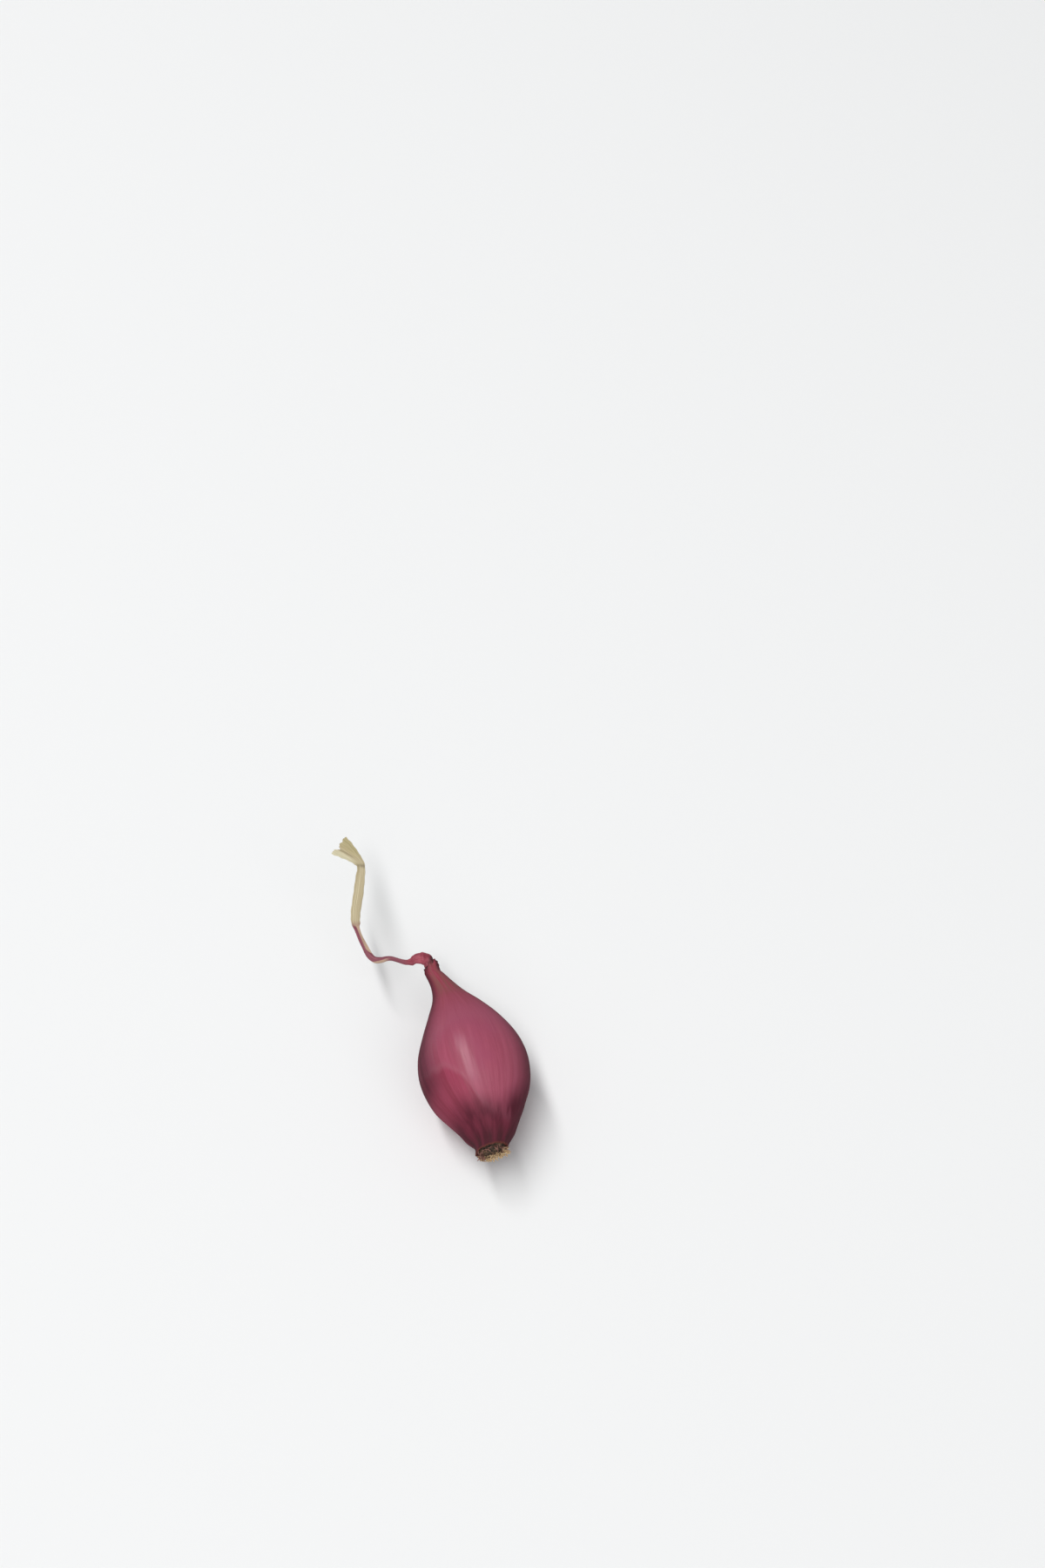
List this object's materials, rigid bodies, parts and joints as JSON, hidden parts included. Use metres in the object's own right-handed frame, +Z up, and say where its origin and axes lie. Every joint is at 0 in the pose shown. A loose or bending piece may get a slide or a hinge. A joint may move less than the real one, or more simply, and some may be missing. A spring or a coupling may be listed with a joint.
{
  "type": "onion set",
  "caption": "Small red onion set lying on its side, teardrop bulb with trimmed dried roots, a shrivelled neck and a long dried leaf.",
  "frame": {"origin": "middle of the small flat spot on the belly that the bulb rests on", "axes": "+Z up from the surface it rests on, +Y along the bulb from the root end to the neck, +X to the right seen from the root end"},
  "size_m": [0.0351, 0.0929, 0.0274],
  "materials": {
    "bulb_skin": "satin dry papery skin, magenta-purple",
    "root_plate": "rough corky, dark grey-brown",
    "neck_skin": "matt crumpled dried skin, dark red",
    "dry_leaf": "matt dried leaf, straw-coloured with a dark red strand",
    "dry_root": "matt dried root, tan"
  },
  "bodies": {
    "root": {"bulb": "bulb_skin", "root_plate": "root_plate", "neck_skin": "neck_skin", "dry_leaf": "dry_leaf", "root_stub_01": "dry_root", "root_stub_02": "dry_root", "root_stub_03": "dry_root", "root_stub_04": "dry_root", "root_stub_05": "dry_root", "root_stub_06": "dry_root", "root_stub_07": "dry_root", "root_stub_08": "dry_root", "root_stub_09": "dry_root", "root_stub_10": "dry_root", "root_stub_11": "dry_root", "root_stub_12": "dry_root", "root_stub_13": "dry_root", "root_stub_14": "dry_root", "root_stub_15": "dry_root", "root_stub_16": "dry_root"}
  },
  "joints": []
}
